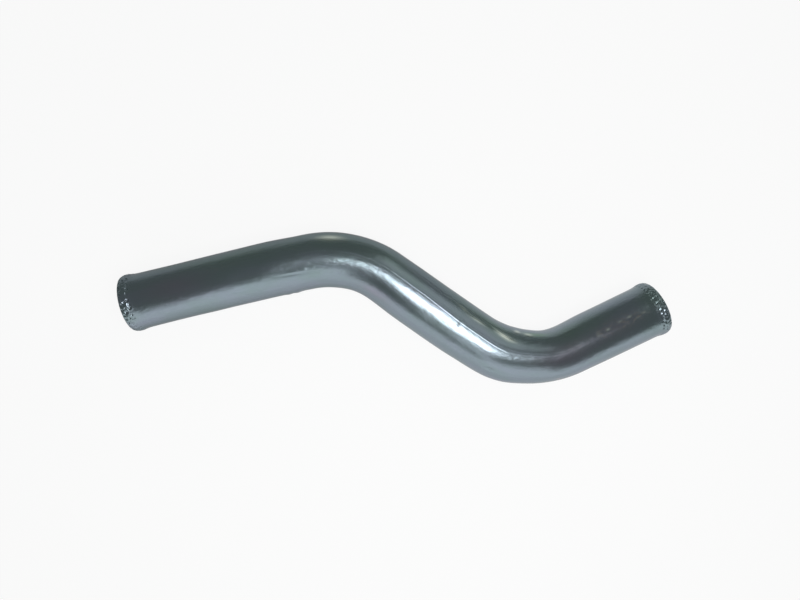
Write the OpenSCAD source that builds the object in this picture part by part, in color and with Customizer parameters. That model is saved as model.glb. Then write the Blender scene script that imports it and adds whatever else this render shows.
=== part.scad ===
// Coolant reservoir pipe. One round steel tube is cut to length, its two ends are
// formed into hose beads, it is bent twice in one plane and then zinc plated.
// It lies flat, as it comes to rest: +Z is up, the bends lie in a level plane, and
// +X follows the longest side from the reservoir mouth to the outlet mouth.
// The origin is on the floor, under the middle of the pipe's box.

/* [Tube] */
// Outside diameter of the tube, which is the bore of the hoses that it takes
tube_d = 28; // [22:0.5:40]
// Thickness of the tube's wall
wall_t = 1.5; // [1:0.1:2.5]

/* [Legs] */
// Straight length from the reservoir bead's crest to the first bend
reservoir_leg_l = 88.5; // [40:0.5:160]
// Straight length between the two bends
middle_leg_l = 56.5; // [20:0.5:160]
// Straight length from the second bend to the outlet bead's crest
outlet_leg_l = 47.5; // [25:0.5:160]

/* [Bends] */
// Radius of both bends along the tube's middle line, as one die makes them
bend_r = 50; // [40:1:90]
// Angle of the bend behind the reservoir leg, which turns right
first_bend_angle = 48.5; // [15:0.5:90]
// Angle of the bend ahead of the outlet leg, which turns left
second_bend_angle = 60; // [15:0.5:90]
// How far the die presses the bent wall in, which leaves a fine line at a bend's ends
die_mark_t = 0.03; // [0.02:0.01:0.1]

/* [Hose beads] */
// Height of a bead's crest above the tube
bead_h = 0.6; // [0.4:0.1:1.2]
// Outer radius of a bead's rounded crest, seen in section
crest_r = 5; // [4:0.5:7]
// Length of the flank on which the tube rises to the crest
flank_l = 6; // [5:0.5:10]

/* [Lay] */
// Heading of the reservoir leg on the floor, turned left from +X
lay_angle = 13.5; // [0:0.5:30]

/* [Hidden] */
$fn = 96;

tube_r = tube_d / 2;
bore_r = tube_r - wall_t;

// How far a bend runs on inside the legs at its ends, where the solids join
lap_l = 0.5;

// Steps in which the rounds of a bead's section are drawn
arc_steps = 8;

// Places on the middle line: x, y and heading. A turn is positive to the left.
function past_leg(at, l) = [at.x + l * cos(at.z), at.y + l * sin(at.z), at.z];
function past_bend(at, turn) =
    let (r = sign(turn) * bend_r, out = at.z + turn)
    [at.x + r * (sin(out) - sin(at.z)), at.y - r * (cos(out) - cos(at.z)), out];

RESERVOIR_CREST = [0, 0, lay_angle];
FIRST_BEND = past_leg(RESERVOIR_CREST, reservoir_leg_l);
MIDDLE_LEG = past_bend(FIRST_BEND, -first_bend_angle);
SECOND_BEND = past_leg(MIDDLE_LEG, middle_leg_l);
OUTLET_LEG = past_bend(SECOND_BEND, second_bend_angle);
OUTLET_CREST = past_leg(OUTLET_LEG, outlet_leg_l);

// The same crest seen from inside the pipe, so that its mouth lies ahead
RESERVOIR_MOUTH = [RESERVOIR_CREST.x, RESERVOIR_CREST.y, RESERVOIR_CREST.z + 180];

// A bead in section: the wall leaves the tube on a hollow fillet, which meets the
// crest's round at flank_turn. The crest's round goes on to lip_turn, where the middle
// of the wall is back at the tube's own, so the mouth is as wide as the bore.
fillet_r = (flank_l * flank_l + bead_h * bead_h) / (2 * bead_h) - crest_r;
flank_turn = asin(flank_l / (fillet_r + crest_r));
lip_turn = acos(1 - bead_h / (crest_r - wall_t / 2));
fillet_at = [tube_r + fillet_r, -flank_l];
crest_at = [tube_r + bead_h - crest_r, 0];
lip_at = crest_at + (crest_r - wall_t / 2) * [cos(lip_turn), sin(lip_turn)];

// Points round a centre from one angle to another
function arc(centre, r, from, to) =
    [for (i = [0:arc_steps]) let (a = from + (to - from) * i / arc_steps) centre + r * [cos(a), sin(a)]];

// One face of the bead's wall, from the tube to the lip
function bead_face(r_of_fillet, r_of_crest) = concat(
    arc(fillet_at, r_of_fillet, 180, 180 - flank_turn),
    arc(crest_at, r_of_crest, -flank_turn, lip_turn)
);

// How far a bend's wall, a crest or a lip at a place reaches in a direction on the floor
function along(at, dir) = at.x * cos(dir) + at.y * sin(dir);
function bend_reach(at, dir) = along(at, dir) + (tube_r - die_mark_t) * abs(sin(dir - at.z));
function crest_reach(at, dir) =
    let (ahead = cos(dir - at.z), aside = abs(sin(dir - at.z)))
    let (tip = min(max(atan2(ahead, aside), -flank_turn), lip_turn))
    along(at, dir) + (crest_at.x + crest_r * cos(tip)) * aside + crest_r * sin(tip) * ahead;
function lip_reach(at, dir) =
    along(at, dir) + lip_at.x * abs(sin(dir - at.z)) + lip_at.y * cos(dir - at.z) + wall_t / 2;

// How far the whole pipe reaches in a direction, with each bend tried at every degree
function reach(dir) = max(concat(
    [for (turned = [0:first_bend_angle]) bend_reach(past_bend(FIRST_BEND, -turned), dir)],
    [for (turned = [0:second_bend_angle]) bend_reach(past_bend(SECOND_BEND, turned), dir)],
    [for (at = [RESERVOIR_MOUTH, OUTLET_CREST]) max(crest_reach(at, dir), lip_reach(at, dir))]
));
box_middle = [(reach(0) - reach(180)) / 2, (reach(90) - reach(270)) / 2];

// Puts its children at a place of the middle line, with +X along its heading
module at_place(at) {
    translate([at.x, at.y, 0]) rotate([0, 0, at.z]) children();
}

// The wall cut across, drawn in by press on both faces
module wall_ring(press = 0) {
    difference() {
        circle(r = tube_r - press);
        circle(r = bore_r + press);
    }
}

// A straight length along +X
module leg(l) {
    rotate([90, 0, 90]) linear_extrude(l) wall_ring();
}

// A bend that leaves the origin along +X, turns in the level plane and laps both legs
module bend(turn) {
    lap = lap_l / bend_r * 180 / PI;
    translate([0, sign(turn) * bend_r, 0])
        rotate([0, 0, (turn > 0 ? -90 : 90 + turn) - lap])
            rotate_extrude(angle = abs(turn) + 2 * lap) translate([bend_r, 0]) wall_ring(die_mark_t);
}

// A leg with its hose bead, turned in one piece: the mouth opens along +X, the crest is
// at the origin and the tube runs back for l
module beaded_leg(l) {
    rotate([90, 0, 90]) rotate_extrude() polygon(concat(
        [[bore_r, -l], [tube_r, -l]],
        bead_face(fillet_r, crest_r),
        arc(lip_at, wall_t / 2, lip_turn, lip_turn + 180),
        [for (p = [2 * arc_steps + 1:-1:0]) bead_face(fillet_r + wall_t, crest_r - wall_t)[p]]
    ));
}

module coolant_pipe() {
    color([0.68, 0.73, 0.76])
    translate([-box_middle.x, -box_middle.y, tube_r + bead_h]) {
        at_place(RESERVOIR_MOUTH) beaded_leg(reservoir_leg_l);
        at_place(FIRST_BEND) bend(-first_bend_angle);
        at_place(MIDDLE_LEG) leg(middle_leg_l);
        at_place(SECOND_BEND) bend(second_bend_angle);
        at_place(OUTLET_CREST) beaded_leg(outlet_leg_l);
    }
}

coolant_pipe();
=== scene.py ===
"""Coolant reservoir pipe, dressed around its packed steel tube. The pipe comes first, and then
the floor it lies on, the studio's lights and the camera. Lengths are given in millimetres
along the tube and across it, and become metres where a mesh is made."""
import bpy
import numpy as np
from mathutils import Matrix


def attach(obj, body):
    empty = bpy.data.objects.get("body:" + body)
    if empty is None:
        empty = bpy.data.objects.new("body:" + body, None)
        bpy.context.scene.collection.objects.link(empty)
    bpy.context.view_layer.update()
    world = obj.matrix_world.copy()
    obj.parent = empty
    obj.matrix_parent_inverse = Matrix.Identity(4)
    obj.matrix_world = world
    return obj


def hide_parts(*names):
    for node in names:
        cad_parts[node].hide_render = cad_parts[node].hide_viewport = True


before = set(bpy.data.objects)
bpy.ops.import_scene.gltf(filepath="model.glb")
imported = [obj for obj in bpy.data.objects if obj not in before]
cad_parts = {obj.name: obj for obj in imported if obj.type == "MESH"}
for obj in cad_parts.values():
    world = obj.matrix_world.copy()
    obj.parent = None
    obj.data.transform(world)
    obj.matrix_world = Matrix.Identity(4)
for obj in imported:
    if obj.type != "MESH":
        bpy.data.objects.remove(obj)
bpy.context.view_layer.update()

# The pipe: one length of seam-welded steel tube, 28 mm across with a 1.5 mm wall. A roller
# draws up a low hose bead at each end and leaves a belt of pits on it, a die bends the
# tube twice in one plane, and it is then plated with bright zinc.
MM = 0.001
TUBE_R = 14.0
WALL = 1.5
BORE_R = TUBE_R - WALL

# The bead stands a hair lower than the solid's, which is 0.6 mm high and drawn with flats,
# so that it stays inside them.
BEAD_H = 0.57
CREST_R = 5.0
FLANK_L = 6.0

# The middle line lies level, where the solid's does. It starts at the crest of the
# reservoir's bead, and turns right in the first bend and left in the second.
REST_Z = 14.6
BEND_R = 50.0
FIRST_BEND, SECOND_BEND = np.radians([48.5, 60.0])
LEGS = (88.5, 56.5, 47.5)
RESERVOIR_CREST = (-133.955, 3.206)
RESERVOIR_HEADING = np.radians(13.5)

stretch_lengths = np.array([LEGS[0], BEND_R * FIRST_BEND, LEGS[1], BEND_R * SECOND_BEND, LEGS[2]])
stretch_turns = np.array([0.0, -FIRST_BEND, 0.0, SECOND_BEND, 0.0])
stretch_ends = np.concatenate([[0.0], np.cumsum(stretch_lengths)])
stretch_headings = RESERVOIR_HEADING + np.concatenate([[0.0], np.cumsum(stretch_turns)])
PIPE_L = stretch_ends[-1]
LINE_STEPS = 12000


def middle_line(along):
    """Place and heading of the middle line. The heading runs evenly through each stretch, the
    place is the running sum of its cosine and sine, and both run on straight past the ends."""
    fine = np.linspace(0.0, PIPE_L, LINE_STEPS + 1)
    between = np.interp((fine[1:] + fine[:-1]) / 2, stretch_ends, stretch_headings)
    x = RESERVOIR_CREST[0] + np.concatenate([[0.0], np.cumsum(np.cos(between) * np.diff(fine))])
    y = RESERVOIR_CREST[1] + np.concatenate([[0.0], np.cumsum(np.sin(between) * np.diff(fine))])
    held = np.clip(along, 0.0, PIPE_L)
    heading = np.interp(held, stretch_ends, stretch_headings)
    past = along - held
    return (np.interp(held, fine, x) + past * np.cos(heading),
            np.interp(held, fine, y) + past * np.sin(heading), heading)


# How far this tube's two sides stand out from a true round one, read off the photograph's
# outline at places along it. It is a little full from the middle leg into the second bend,
# and a little flat where that bend ends.
SIDE_AT = np.array([0, 20, 45, 70, 88, 102, 117, 131, 145, 160,
                    175, 190, 203, 216, 229, 240, 252, 266, 280, PIPE_L])
LEFT_OUT = np.array([0, .02, .36, .59, -.05, -.12, -.06, .11, .19, .25,
                     .35, .56, .73, .17, -.80, -.63, -.20, -.10, -.03, 0])
RIGHT_OUT = np.array([0, -.29, -.29, -.16, .19, .33, .03, .13, .65, .77,
                      .65, -.06, .60, -.20, -.32, -.29, -.07, .02, -.05, 0])


def smooth_between(at, places, values):
    """A curve through the values that never overshoots: in each step it is the cubic whose slope
    at an end is the harmonic mean of the rises on both sides. It is level where those turn, and
    at the curve's own ends."""
    steps = np.diff(places)
    rises = np.diff(values) / steps
    before, after = rises[:-1], rises[1:]
    total = np.where(after * before > 0, after + before, 1.0)
    inner_slopes = np.where(after * before > 0, 2 * after * before / total, 0.0)
    slopes = np.concatenate([[0.0], inner_slopes, [0.0]])
    step = np.clip(np.searchsorted(places, at, side="right") - 1, 0, len(steps) - 1)
    gone = np.clip((at - places[step]) / steps[step], 0.0, 1.0)
    to_go = 1 - gone
    return (values[step] * (1 + 2 * gone) * to_go ** 2
            + values[step + 1] * (3 - 2 * gone) * gone ** 2
            + steps[step] * to_go * gone * (slopes[step] * to_go - slopes[step + 1] * gone))


# How far round from the top, toward the left side, the weld seam lies. It keeps its place to
# the middle leg and then wanders over the top of the second bend.
SEAM_AT = np.array([0.0, 148, 174, 190, 205, 240, PIPE_L])
SEAM_DEGREES = np.array([16.5, 16.5, 11.5, 9.5, 6.0, 3.5, 3.5])

# The bead's rows lie a step apart, or this share as many in the bore, and the cut edge of the
# wall is rounded in steps of its own.
BEAD_STEP = 0.26
BORE_ROW_SHARE = 0.4
FEWEST_ROWS = 4
EDGE_STEPS = 12


def bead_wall(step):
    """The bead's outer face, cut edge and inner face as (distance ahead of the crest, radius): a
    hollow fillet up to the crest's round, that round on to the lip, and a half round over the
    wall's edge."""
    fillet_r = (FLANK_L ** 2 + BEAD_H ** 2) / (2 * BEAD_H) - CREST_R
    flank_turn = np.arcsin(FLANK_L / (fillet_r + CREST_R))
    lip_turn = np.arccos(1 - BEAD_H / (CREST_R - WALL / 2))
    crest_centre = TUBE_R + BEAD_H - CREST_R

    def face(fillet, crest, row_share):
        """One face from the tube to the lip, with its own radius for fillet and crest."""
        over_l = CREST_R * (flank_turn + lip_turn)
        rise_rows = max(FEWEST_ROWS, int(FLANK_L / step * row_share))
        over_rows = max(FEWEST_ROWS, int(over_l / step * row_share))
        rise = np.linspace(0.0, flank_turn, rise_rows)[:-1]
        over = np.linspace(-flank_turn, lip_turn, over_rows)
        return (np.concatenate([-FLANK_L + fillet * np.sin(rise), crest * np.sin(over)]),
                np.concatenate([TUBE_R + fillet_r - fillet * np.cos(rise),
                                crest_centre + crest * np.cos(over)]))

    turn = lip_turn + np.linspace(0.0, np.pi, EDGE_STEPS + 1)[1:-1]
    middle = CREST_R - WALL / 2
    edge = (middle * np.sin(lip_turn) + WALL / 2 * np.sin(turn),
            crest_centre + middle * np.cos(lip_turn) + WALL / 2 * np.cos(turn))
    return (face(fillet_r, CREST_R, 1.0), edge,
            face(fillet_r + WALL, CREST_R - WALL, BORE_ROW_SHARE))


# Rows of the wall, taken once round its section: from the middle of the reservoir's lip out
# along the outside to the outlet's lip, and back along the bore. Outside they lie closer
# where the wall is creased.
ROWS_OUT = 212
ROWS_BACK = 52
BODY_SAMPLES = 2001
CLOSENESS_AT = [0, 66, 72, 88, 94, 165, 171, 214, 220, PIPE_L]
CLOSENESS = [0.8, 0.8, 2.2, 2.2, 0.9, 0.9, 1.8, 1.8, 0.8, 0.8]
outer, lip, inner = bead_wall(BEAD_STEP)
body = np.linspace(FLANK_L, PIPE_L - FLANK_L, BODY_SAMPLES)
closeness = np.interp(body, CLOSENESS_AT, CLOSENESS)
counted = np.concatenate([[0.0], np.cumsum((closeness[1:] + closeness[:-1]) / 2)])
body_out = np.interp(np.linspace(0, counted[-1], ROWS_OUT), counted, body)[1:-1]
body_back = np.linspace(PIPE_L - FLANK_L, FLANK_L, ROWS_BACK)[1:-1]
half_lip = (len(lip[0]) + 1) // 2
row_along = np.concatenate([
    -lip[0][:half_lip][::-1], -outer[0][::-1], body_out, PIPE_L + outer[0], PIPE_L + lip[0],
    PIPE_L + inner[0][::-1], body_back, -inner[0], -lip[0][half_lip:][::-1]])
row_radius = np.concatenate([
    lip[1][:half_lip][::-1], outer[1][::-1], np.full(len(body_out), TUBE_R), outer[1], lip[1],
    inner[1][::-1], np.full(len(body_back), BORE_R), inner[1], lip[1][half_lip:][::-1]])
outer_rows = half_lip + 2 * len(outer[0]) + len(body_out) + half_lip
row_inside = np.ones(len(row_along))
row_inside[:outer_rows] = 0.0

# Columns round the tube, counted from the weld seam and pulled closer together beside it.
COLUMNS = 240
COLUMN_PULL = 0.72
even = np.arange(COLUMNS) / COLUMNS
column_turn = 2 * np.pi * even - COLUMN_PULL * np.sin(2 * np.pi * even)

along, from_seam = np.meshgrid(row_along, column_turn, indexing="ij")
inside = np.repeat(row_inside[:, None], COLUMNS, axis=1)
outside = 1.0 - inside
radius = np.repeat(row_radius[:, None], COLUMNS, axis=1)
held_along = np.clip(along, 0.0, PIPE_L)
round_turn = from_seam + np.radians(smooth_between(held_along, SEAM_AT, SEAM_DEGREES))
side = (round_turn + np.pi) % (2 * np.pi) - np.pi

# Out of round: the sides move as measured, while the top and bottom keep to the round.
left = smooth_between(held_along, SIDE_AT, LEFT_OUT)
right = smooth_between(held_along, SIDE_AT, RIGHT_OUT)
shift = (left - right) / 2
swell = (left + right) / 2
stand_out = swell * np.maximum(-np.cos(2 * side), 0.0)

# The weld seam: the strip's edges never take the full curve, so the wall rises to the seam
# on both sides like a low roof. The scarfing tool that shaves the weld leaves a band 1.6 mm
# wide and a hair proud, between two fine grooves, plain to see only on the middle leg.
ROOF_H = 0.16
ROOF_W = 4.6
ROOF_POWER = 1.6
BAND_FROM = -0.75
BAND_TO = 0.85
BAND_HALF_H = 0.022
BAND_EDGE_W = 0.2
GROOVE_DEPTH = 0.045
GROOVE_W = 0.24
SEEN_AT = [0, 70, 110, 205, 225, PIPE_L]
SEEN_SHARE = [0.35, 0.35, 1.0, 1.0, 0.3, 0.3]
seam_gap = TUBE_R * ((from_seam + np.pi) % (2 * np.pi) - np.pi)
roof = ROOF_H * np.exp(-(np.abs(seam_gap) / ROOF_W) ** ROOF_POWER)
shaved = BAND_HALF_H * (np.tanh((seam_gap - BAND_FROM) / BAND_EDGE_W)
                        - np.tanh((seam_gap - BAND_TO) / BAND_EDGE_W))
grooves = -GROOVE_DEPTH * (np.exp(-((seam_gap - BAND_FROM) / GROOVE_W) ** 2)
                           + np.exp(-((seam_gap - BAND_TO) / GROOVE_W) ** 2))
ridge = roof + (shaved + grooves) * np.interp(along, SEEN_AT, SEEN_SHARE)

# The seam fades toward each mouth over this length, and is gone this far inside the crest.
FADE_L = 6.0
FADE_FROM = 1.0
on_body = (np.clip((along - FADE_FROM) / FADE_L, 0, 1)
           * np.clip((PIPE_L - FADE_FROM - along) / FADE_L, 0, 1))
stand_out = stand_out + ridge * on_body * outside


def soft_patch(place, degrees, half_l, half_w, turned):
    """How much of a patch each point of the wall has: one in its middle, falling off as a bell
    over its half length and half width, with its length turned in degrees from the tube's."""
    ahead = along - place
    aside = TUBE_R * ((side - np.radians(degrees) + np.pi) % (2 * np.pi) - np.pi)
    cosine, sine = np.cos(np.radians(turned)), np.sin(np.radians(turned))
    return np.exp(-((ahead * cosine + aside * sine) / half_l) ** 2
                  - ((aside * cosine - ahead * sine) / half_w) ** 2) * outside


# Dents and wrinkles: place along, degrees round from the top toward the left side, half
# length, half width, degrees that its length is turned by, and height (a dent is negative).
DENTS = (
    (76.0, -88.0, 1.3, 6.0, 0.0, 0.26), (80.5, -88.0, 1.4, 6.0, 0.0, 0.24),
    (84.5, -84.0, 2.0, 6.0, 0.0, -0.14), (80.0, -12.0, 11.0, 2.6, 4.0, -0.18),
    (84.0, -19.5, 7.5, 0.9, -3.0, 0.17), (81.0, -23.5, 9.0, 1.0, -2.0, -0.13),
    (92.0, 6.0, 16.0, 5.0, 10.0, -0.08), (101.0, 44.0, 5.0, 1.8, 0.0, 0.16),
    (120.0, 50.0, 9.0, 1.3, 0.0, 0.08), (183.0, 40.5, 11.0, 0.8, -1.0, -0.10),
    (197.5, 35.5, 6.0, 0.9, -9.0, 0.28), (196.0, 40.5, 8.0, 0.8, -9.0, -0.16),
    (180.0, 35.0, 5.0, 0.8, 0.0, 0.10), (190.0, 28.0, 9.0, 1.6, -6.0, -0.08),
    (204.0, 28.0, 6.0, 1.8, -10.0, -0.06), (206.5, 58.0, 2.2, 1.0, 0.0, 0.14),
    (214.0, 54.0, 3.2, 1.0, -6.0, 0.14), (222.0, 52.0, 5.0, 1.2, 0.0, 0.08),
    (228.0, 6.0, 3.0, 2.2, 20.0, -0.09), (171.0, -13.0, 7.0, 2.6, 5.0, 0.06),
    (160.0, -17.0, 5.0, 2.2, -8.0, -0.07), (150.0, -12.0, 4.0, 1.6, 6.0, 0.05),
    (166.0, -9.0, 3.0, 1.4, -6.0, -0.05), (174.5, 7.0, 0.7, 2.6, 8.0, -0.22),
    (198.0, -45.0, 1.0, 0.9, 0.0, -0.45), (58.8, -3.0, 5.0, 3.0, 0.0, -0.04),
    (229.0, -58.5, 2.5, 1.4, 0.0, -0.08), (252.5, 10.0, 0.9, 3.0, 35.0, -0.07),
    (262.0, 12.0, 5.0, 1.0, -10.0, -0.08), (270.0, 16.0, 1.0, 1.0, 0.0, -0.14),
    (274.0, 8.0, 1.2, 0.9, 0.0, -0.13), (257.0, 12.0, 1.2, 1.0, 0.0, -0.15),
    (34.0, 20.0, 1.2, 1.0, 0.0, -0.05))
for *patch, height in DENTS:
    stand_out = stand_out + height * soft_patch(*patch)

# Slow waves in the wall, about a hundredth of a millimetre each, as no drawn tube is quite true.
WAVE_COUNT = 14
WAVE_H = 0.012
WAVES_ROUND = (0, 5)
WAVE_LENGTHS = (18.0, 60.0)
WAVE_STARTS = (0.0, 6.3)
waves = np.random.default_rng(7)
for _ in range(WAVE_COUNT):
    round_count = waves.integers(*WAVES_ROUND)
    length = waves.uniform(*WAVE_LENGTHS)
    ahead_wave = np.sin(2 * np.pi * along / length + waves.uniform(*WAVE_STARTS))
    round_wave = np.cos(round_count * side + waves.uniform(*WAVE_STARTS))
    stand_out = stand_out + WAVE_H * ahead_wave * round_wave

# The roller's pits: three staggered rings on each bead's crest, every pit with its own place,
# size and depth and a low burr round it. Nothing stands out past the crest.
PITS_ROUND = 36
PIT_RINGS = (-1.9, -0.1, 1.7)
PIT_STEP = 2 * np.pi * TUBE_R / PITS_ROUND
PIT_DEPTHS = (0.12, 0.50)
PIT_SIZES = (0.50, 0.90)
PIT_POWER = 3
STAGGER = 0.5
NUDGE = 0.3
NUDGE_AHEAD = 1.2
BURR_SHARE = 0.22
BURR_AT = 1.45
BURR_W = 0.35
pits = np.random.default_rng(23)
for crest_along, out_way in ((0.0, -1.0), (PIPE_L, 1.0)):
    for ring_number, ring in enumerate(PIT_RINGS):
        turn = (side / (2 * np.pi) * PITS_ROUND + ring_number * STAGGER) % PITS_ROUND
        number = np.floor(turn).astype(int) % PITS_ROUND
        nudge = pits.uniform(-NUDGE, NUDGE, (2, PITS_ROUND))
        depth = pits.uniform(*PIT_DEPTHS, PITS_ROUND)
        size = pits.uniform(*PIT_SIZES, PITS_ROUND)
        ahead = out_way * (along - crest_along) - ring - NUDGE_AHEAD * nudge[0][number]
        aside = (turn - np.floor(turn) - 0.5 - nudge[1][number]) * PIT_STEP
        off = np.sqrt(ahead ** 2 + aside ** 2) / size[number]
        burr = BURR_SHARE * np.exp(-((off - BURR_AT) / BURR_W) ** 2)
        stand_out = stand_out - depth[number] * (np.exp(-off ** PIT_POWER) - burr) * outside

# The bore may move out by most of the wall's thickness, and the outside stays within the
# crest's height.
BORE_MOST = 1.0
farthest = np.where(inside > 0.5, radius + BORE_MOST, TUBE_R + BEAD_H)
wall_radius = np.minimum(radius + stand_out, farthest)
line_x, line_y, heading = middle_line(along)
across = shift + wall_radius * np.sin(side)
x = line_x - across * np.sin(heading)
y = line_y + across * np.cos(heading)
z = REST_Z + wall_radius * np.cos(side)


def grid_mesh(name, points, wrap_rows, wrap_columns):
    """A mesh of four-sided faces on a grid of points, which closes on itself where asked."""
    rows, columns = points.shape[:2]
    number = np.arange(rows * columns).reshape(rows, columns)
    if wrap_rows:
        number = np.concatenate([number, number[:1]])
    if wrap_columns:
        number = np.concatenate([number, number[:, :1]], axis=1)
    corners = np.stack([number[:-1, :-1], number[1:, :-1], number[1:, 1:], number[:-1, 1:]],
                       axis=-1).reshape(-1, 4)
    mesh = bpy.data.meshes.new(name)
    mesh.vertices.add(rows * columns)
    mesh.vertices.foreach_set("co", points.reshape(-1).astype(np.float32))
    mesh.loops.add(corners.size)
    mesh.loops.foreach_set("vertex_index", corners.reshape(-1).astype(np.int32))
    mesh.polygons.add(len(corners))
    mesh.polygons.foreach_set("loop_start", (4 * np.arange(len(corners))).astype(np.int32))
    mesh.polygons.foreach_set("use_smooth", np.ones(len(corners), bool))
    mesh.update(calc_edges=True)
    mesh.validate()
    return mesh


pipe_points = np.stack([x, y, z], axis=-1) * MM
pipe_mesh = grid_mesh("coolant_pipe_plated", pipe_points, True, True)

# The map for the finish: millimetres along the tube, and millimetres round it from the seam.
map_rows = np.concatenate([row_along, row_along[:1]])
map_columns = TUBE_R * np.concatenate([column_turn, [2 * np.pi]])
map_points = np.stack(np.meshgrid(map_rows, map_columns, indexing="ij"), axis=-1)
map_corners = np.stack([map_points[:-1, :-1], map_points[1:, :-1],
                        map_points[1:, 1:], map_points[:-1, 1:]], axis=2)
finish_map = pipe_mesh.uv_layers.new(name="finish_mm")
finish_map.uv.foreach_set("vector", map_corners.reshape(-1).astype(np.float32))
bore_mark = pipe_mesh.attributes.new("in_bore", "FLOAT", "POINT")
bore_mark.data.foreach_set("value", inside.reshape(-1).astype(np.float32))

# Marks in the plate, as soft patches with a strength: scuffs on the outlet leg, pale specks in
# the scuffs, and a violet cast where the passivate is thicker. The pale patches on the shoulder
# of each bend are painted highlights, and the green along the far side is a painted reflection.
SCUFFS = (
    (262.0, 13.0, 9.0, 3.2, -4.0, 0.9), (252.5, 9.0, 2.0, 3.4, 30.0, 0.7),
    (273.0, 10.0, 6.0, 2.2, 0.0, 0.8), (240.0, 12.0, 5.0, 2.0, -8.0, 0.4),
    (48.0, 24.0, 8.0, 2.0, 5.0, 0.35), (229.0, -58.0, 2.5, 1.6, 0.0, 0.8))
# Painted highlights on the bends' shoulders and creases first, then pale specks in the scuffs.
PAINTED_HIGHLIGHTS_AND_SPECKS = (
    (101.0, 47.5, 4.6, 2.0, 0.0, 0.9), (198.5, 35.5, 5.5, 1.2, -9.0, 1.0),
    (181.0, 35.0, 4.0, 0.9, 0.0, 0.45), (206.5, 60.0, 2.0, 1.3, 0.0, 0.6),
    (214.0, 55.5, 2.8, 1.2, -6.0, 0.55), (172.0, 40.0, 3.0, 0.9, -10.0, 0.3),
    (257.5, 12.0, 1.1, 0.6, 30.0, 0.5), (265.0, 15.5, 1.4, 0.5, -30.0, 0.4),
    (270.0, 17.0, 1.0, 0.6, 0.0, 0.5), (274.0, 9.0, 1.0, 0.5, 20.0, 0.4),
    (277.5, 12.0, 1.8, 0.5, -25.0, 0.4), (252.5, 10.0, 0.8, 1.6, 20.0, 0.35))
VIOLET = (
    (236.0, 6.0, 12.0, 5.0, -6.0, 0.45), (226.0, -8.0, 12.0, 3.0, -4.0, 0.35),
    (24.0, 8.0, 16.0, 6.0, 0.0, 0.5), (262.0, 8.0, 14.0, 5.0, 0.0, 0.4),
    (130.0, -44.0, 10.0, 3.0, 0.0, 0.4))
# Painted reflection: a green cast along the far side of the tube, where it mirrors the room.
PAINTED_GREEN_REFLECTION = (
    (219.0, 57.0, 8.0, 2.0, 0.0, 0.9), (60.0, 42.0, 38.0, 6.0, 0.0, 0.5),
    (120.0, 36.0, 24.0, 6.0, 0.0, 0.5), (190.0, 46.0, 20.0, 5.0, 0.0, 0.7),
    (240.0, 44.0, 16.0, 5.0, 0.0, 0.6), (285.0, 40.0, 8.0, 8.0, 0.0, 0.5))
marked = [np.clip(sum(strength * soft_patch(*patch) for *patch, strength in table), 0.0, 1.0)
          for table in (SCUFFS, PAINTED_HIGHLIGHTS_AND_SPECKS, VIOLET, PAINTED_GREEN_REFLECTION)]
marks = pipe_mesh.attributes.new("marks", "FLOAT_COLOR", "POINT")
marks.data.foreach_set("color", np.stack(marked, axis=-1).reshape(-1).astype(np.float32))

pipe = bpy.data.objects.new("coolant_pipe_plated", pipe_mesh)
bpy.context.scene.collection.objects.link(pipe)


def linear(hex_colour):
    """An sRGB hex colour as linear red, green, blue and a one, by the sRGB curve: a straight
    line near black, and a power of 2.4 above it."""
    parts = [int(hex_colour[start:start + 2], 16) / 255 for start in (1, 3, 5)]
    return tuple(part / 12.92 if part <= 0.04045 else ((part + 0.055) / 1.055) ** 2.4
                 for part in parts) + (1.0,)


def add_node(material, kind, settings=None, values=None, links=None):
    """Adds a shader node, sets its options and its sockets' values, and links its inputs."""
    tree = material.node_tree
    node = tree.nodes.new(kind)
    for key, value in (settings or {}).items():
        setattr(node, key, value)
    for key, value in (values or {}).items():
        node.inputs[key].default_value = value
    for key, source in (links or {}).items():
        tree.links.new(source, node.inputs[key])
    return node


# Bright zinc plate under a clear blue passivate, on drawn steel: a cold grey that drifts a
# little in hue. The fine lines drawn along the tube spread a highlight round it and keep it
# short along it, a slow rumple breaks its edges, and the marks above tint and scuff it. Some
# of them are painted highlights on the bends and a painted green reflection on the far side.
zinc = bpy.data.materials.new("bright_zinc_plate")
zinc.use_nodes = True
zinc.node_tree.nodes.clear()
millimetres = add_node(zinc, "ShaderNodeUVMap", {"uv_map": "finish_mm"})

# Drawn lines, 0.6 mm apart and 50 mm long. Real ones are finer, and these are as coarse as
# they need to be to show.
draw_map = add_node(zinc, "ShaderNodeMapping", values={"Scale": (0.02, 1.6, 1.0)},
                    links={"Vector": millimetres.outputs["UV"]})
draw_lines = add_node(zinc, "ShaderNodeTexNoise",
                      values={"Scale": 1.0, "Detail": 4.0, "Roughness": 0.6},
                      links={"Vector": draw_map.outputs["Vector"]})

# The passivate's drift in hue, in clouds about 22 mm long and 9 mm wide.
cloud_map = add_node(zinc, "ShaderNodeMapping", values={"Scale": (0.045, 0.11, 1.0)},
                     links={"Vector": millimetres.outputs["UV"]})
cloud = add_node(zinc, "ShaderNodeTexNoise",
                 values={"Scale": 1.0, "Detail": 3.0, "Roughness": 0.5},
                 links={"Vector": cloud_map.outputs["Vector"]})
tone = add_node(zinc, "ShaderNodeValToRGB", links={"Fac": cloud.outputs["Fac"]})
tone.color_ramp.elements.new(0.5)
for step, (position, colour) in zip(tone.color_ramp.elements,
                                    ((0.3, "#7F8E92"), (0.5, "#838F97"), (0.7, "#87909C"))):
    step.position = position
    step.color = linear(colour)
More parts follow.
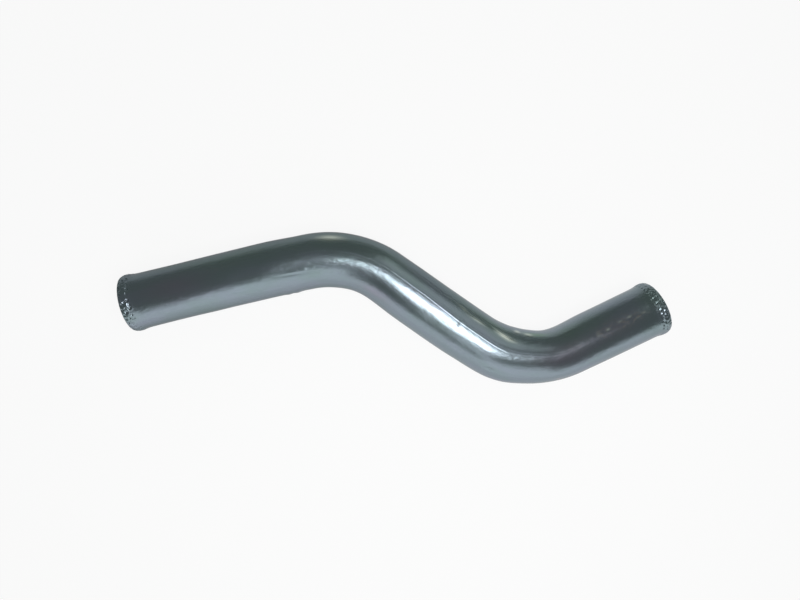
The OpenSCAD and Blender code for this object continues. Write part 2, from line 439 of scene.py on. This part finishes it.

# The marks' colours, laid over the drift one after the other: the violet cast, the painted green
# reflection, the painted pale highlights with the scuffs' specks, and the scuffs.
marks_here = add_node(zinc, "ShaderNodeAttribute", {"attribute_name": "marks"})
mark_parts = add_node(zinc, "ShaderNodeSeparateColor", links={"Color": marks_here.outputs["Color"]})
violet_tone = add_node(zinc, "ShaderNodeMix", {"data_type": "RGBA"}, {"B": linear("#918799")},
                       {"Factor": mark_parts.outputs["Blue"], "A": tone.outputs["Color"]})
# The painted green reflection along the far side.
green_reflection_tone = add_node(zinc, "ShaderNodeMix", {"data_type": "RGBA"}, {"B": linear("#7B9087")},
                      {"Factor": marks_here.outputs["Alpha"], "A": violet_tone.outputs["Result"]})
# Painted pale highlights on the bends, and the pale specks in the scuffs.
highlight_and_speck_tone = add_node(zinc, "ShaderNodeMix", {"data_type": "RGBA"}, {"B": linear("#E6EDE3")},
                     {"Factor": mark_parts.outputs["Green"], "A": green_reflection_tone.outputs["Result"]})

# Scuffs are broken up by scratches about 3 mm long and 1 mm apart, which lie askew.
scratch_map = add_node(zinc, "ShaderNodeMapping",
                       values={"Scale": (0.35, 1.1, 1.0), "Rotation": (0.0, 0.0, 0.9)},
                       links={"Vector": millimetres.outputs["UV"]})
scratches = add_node(zinc, "ShaderNodeTexNoise",
                     values={"Scale": 1.0, "Detail": 3.0, "Roughness": 0.65},
                     links={"Vector": scratch_map.outputs["Vector"]})
scratched = add_node(zinc, "ShaderNodeMapRange", values={"From Min": 0.52, "From Max": 0.60},
                     links={"Value": scratches.outputs["Fac"]})
scuffed = add_node(zinc, "ShaderNodeMath", {"operation": "MULTIPLY"},
                   links={0: scratched.outputs["Result"], 1: mark_parts.outputs["Red"]})
scuff_tone = add_node(zinc, "ShaderNodeMix", {"data_type": "RGBA"}, {"B": linear("#9D9A9C")},
                      {"Factor": scuffed.outputs[0], "A": highlight_and_speck_tone.outputs["Result"]})

# The haze follows the drawn lines, and the bore is dull and grey.
haze = add_node(zinc, "ShaderNodeMapRange",
                values={"From Min": 0.25, "From Max": 0.75, "To Min": 0.20, "To Max": 0.26},
                links={"Value": draw_lines.outputs["Fac"]})
in_bore = add_node(zinc, "ShaderNodeAttribute", {"attribute_name": "in_bore"})
surface_colour = add_node(zinc, "ShaderNodeMix", {"data_type": "RGBA"}, {"B": linear("#6E7173")},
                          {"Factor": in_bore.outputs["Fac"], "A": scuff_tone.outputs["Result"]})
surface_haze = add_node(zinc, "ShaderNodeMix", values={"B": 0.55},
                        links={"Factor": in_bore.outputs["Fac"], "A": haze.outputs["Result"]})

# The wall's rumple is 0.12 mm high at most, 4.5 mm long and 2 mm wide, and the drawn lines
# are far lower.
rumple_map = add_node(zinc, "ShaderNodeMapping", values={"Scale": (0.22, 0.5, 1.0)},
                      links={"Vector": millimetres.outputs["UV"]})
rumple = add_node(zinc, "ShaderNodeTexNoise",
                  values={"Scale": 1.0, "Detail": 4.0, "Roughness": 0.65},
                  links={"Vector": rumple_map.outputs["Vector"]})
rumple_bump = add_node(zinc, "ShaderNodeBump", values={"Strength": 1.0, "Distance": 0.00012},
                       links={"Height": rumple.outputs["Fac"]})
draw_bump = add_node(zinc, "ShaderNodeBump", values={"Strength": 0.25, "Distance": 0.00002},
                     links={"Height": draw_lines.outputs["Fac"],
                            "Normal": rumple_bump.outputs["Normal"]})
along_tube = add_node(zinc, "ShaderNodeTangent",
                      {"direction_type": "UV_MAP", "uv_map": "finish_mm"})
plate = add_node(zinc, "ShaderNodeBsdfPrincipled",
                 values={"Metallic": 1.0, "Specular Tint": linear("#E6E6E6"),
                         "Anisotropic": 0.6, "Anisotropic Rotation": 0.25},
                 links={"Base Color": surface_colour.outputs["Result"],
                        "Roughness": surface_haze.outputs["Result"],
                        "Normal": draw_bump.outputs["Normal"],
                        "Tangent": along_tube.outputs["Tangent"]})
add_node(zinc, "ShaderNodeOutputMaterial", links={"Surface": plate.outputs["BSDF"]})
pipe_mesh.materials.append(zinc)

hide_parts("coolant_pipe")
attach(pipe, "root")

# The floor: one plain sheet of matt white paper, which fills the view and reaches far past
# it. Seen straight it glows white, as the lit paper does, and keeps the pipe's soft shadow.
# The metal mirrors that glow on the near side, and on the far side only the paper as it is lit,
# a painted shade for the pipe's shadow there.
FLOOR_HALF = 4.0

# The glow's share where the paper is seen and where it is mirrored. The mirrored share falls
# away toward SHADE_WAY, over this many metres on either side of the middle, as painted shade.
SEEN_GLOW = 0.90
MIRRORED_GLOW = 0.96
SHADE_WAY = (-0.3, 0.95, 0.0)
SHADE_HALF = 0.035
floor_points = np.array([[[-1, -1, 0], [-1, 1, 0]], [[1, -1, 0], [1, 1, 0]]], float) * FLOOR_HALF
floor_mesh = grid_mesh("studio_floor", floor_points, False, False)
floor = bpy.data.objects.new("studio_floor", floor_mesh)
bpy.context.scene.collection.objects.link(floor)
paper = bpy.data.materials.new("matt_white_paper")
paper.use_nodes = True
paper.node_tree.nodes.clear()
sheet = add_node(paper, "ShaderNodeBsdfDiffuse", values={"Color": linear("#F8F8F8")})
white = add_node(paper, "ShaderNodeEmission", values={"Color": linear("#FFFFFF"), "Strength": 1.0})
seen_by = add_node(paper, "ShaderNodeLightPath")
seen_or_through = add_node(paper, "ShaderNodeMath", {"operation": "ADD"},
                           links={0: seen_by.outputs["Is Camera Ray"],
                                  1: seen_by.outputs["Is Transmission Ray"]})
seen_share = add_node(paper, "ShaderNodeMath", {"operation": "MULTIPLY"}, {1: SEEN_GLOW},
                      {0: seen_or_through.outputs[0]})
on_floor = add_node(paper, "ShaderNodeTexCoord")
# Painted shade: the glow that the metal mirrors fades out toward the far side.
toward_shade = add_node(paper, "ShaderNodeVectorMath", {"operation": "DOT_PRODUCT"},
                        {1: SHADE_WAY}, {0: on_floor.outputs["Object"]})
shade = add_node(paper, "ShaderNodeMapRange", {"interpolation_type": "SMOOTHSTEP"},
                 {"From Min": -SHADE_HALF, "From Max": SHADE_HALF,
                  "To Min": MIRRORED_GLOW, "To Max": 0.0},
                 {"Value": toward_shade.outputs["Value"]})
mirrored_share = add_node(paper, "ShaderNodeMath", {"operation": "MULTIPLY"},
                          links={0: seen_by.outputs["Is Glossy Ray"], 1: shade.outputs["Result"]})
glow_share = add_node(paper, "ShaderNodeMath", {"operation": "ADD", "use_clamp": True},
                      links={0: seen_share.outputs[0], 1: mirrored_share.outputs[0]})
lit_sheet = add_node(paper, "ShaderNodeMixShader",
                     links={0: glow_share.outputs[0], 1: sheet.outputs[0], 2: white.outputs[0]})
add_node(paper, "ShaderNodeOutputMaterial", links={"Surface": lit_sheet.outputs[0]})
floor_mesh.materials.append(paper)

# The studio: a dim room with a small bright softbox beside the lens, for the highlight on the
# middle leg, and a dim strip next to it. Two softboxes on the near side give the pale band,
# and a dim card on the far side lifts the middle leg's shoulder.
ROOM_LEVEL = (0.203, 0.221, 0.211, 1.0)
room = bpy.data.worlds.new("dim_studio_room")
bpy.context.scene.world = room
room.use_nodes = True
room.node_tree.nodes["Background"].inputs["Color"].default_value = ROOM_LEVEL
room.node_tree.nodes["Background"].inputs["Strength"].default_value = 1.0
LAMP_DISTANCE = 1.6


def softbox(name, at, size, radiance, wide_azimuth, aim=(0.0, 0.0, 0.0)):
    """A square-cornered lamp, in metres, which faces a point from its place and is hidden from
    the camera. Its width runs toward an azimuth in degrees, and its power is its radiance times
    its area times pi."""
    lamp = bpy.data.lights.new(name, "AREA")
    lamp.shape = "RECTANGLE"
    lamp.size, lamp.size_y = size
    lamp.energy = radiance * size[0] * size[1] * np.pi
    back = np.subtract(at, aim) / np.linalg.norm(np.subtract(at, aim))
    azimuth = np.radians(wide_azimuth)
    wide = np.array([np.cos(azimuth), np.sin(azimuth), 0.0])
    wide = wide - back * (wide @ back)
    wide = wide / np.linalg.norm(wide)
    axes = np.column_stack([wide, np.cross(back, wide), back, at])
    holder = bpy.data.objects.new(name, lamp)
    holder.visible_camera = False
    holder.matrix_world = Matrix(axes.tolist() + [[0, 0, 0, 1]])
    bpy.context.scene.collection.objects.link(holder)


def from_pipe(azimuth, elevation):
    """The place seen from the origin at an azimuth and elevation in degrees, at the lamps'
    distance: level with the floor it is that times the elevation's cosine, and up its sine."""
    turn, rise = np.radians(azimuth), np.radians(elevation)
    level = LAMP_DISTANCE * np.cos(rise)
    return level * np.cos(turn), level * np.sin(turn), LAMP_DISTANCE * np.sin(rise)


softbox("beside_lens_softbox", (0.033, -0.047, 0.345), (0.163, 0.122), 7.0, 105,
        aim=(0.033, -0.047, 0.0))
softbox("long_strip_softbox", (0.016, -0.168, 0.350), (0.52, 0.12), 0.68, 57,
        aim=(0.016, -0.168, 0.0))
softbox("near_softbox", from_pipe(272, 14), (3.8, 0.80), 0.97, 2)
softbox("near_upper_softbox", from_pipe(275, 36), (1.0, 0.56), 0.85, 4)
softbox("far_card", from_pipe(46, 36), (0.9, 1.1), 0.54, 136)

# The camera: straight above the pipe with a wide lens, as the photograph was taken, and
# tilted by less than three degrees.
CAMERA_AT = (-15.993, 4.387, 333.33)
SENSOR_W = 36.0
FOCAL_L = 27.9
TILT_DEGREES = -2.839
TURN_DEGREES = -0.027
lens = bpy.data.cameras.new("overhead_camera")
lens.sensor_width = SENSOR_W
lens.lens = FOCAL_L
lens.clip_start = 0.01
camera = bpy.data.objects.new("overhead_camera", lens)
camera.location = tuple(value * MM for value in CAMERA_AT)
camera.rotation_euler = (0.0, np.radians(TILT_DEGREES), np.radians(TURN_DEGREES))
bpy.context.scene.collection.objects.link(camera)
bpy.context.scene.camera = camera
bpy.context.scene.view_settings.view_transform = "Standard"
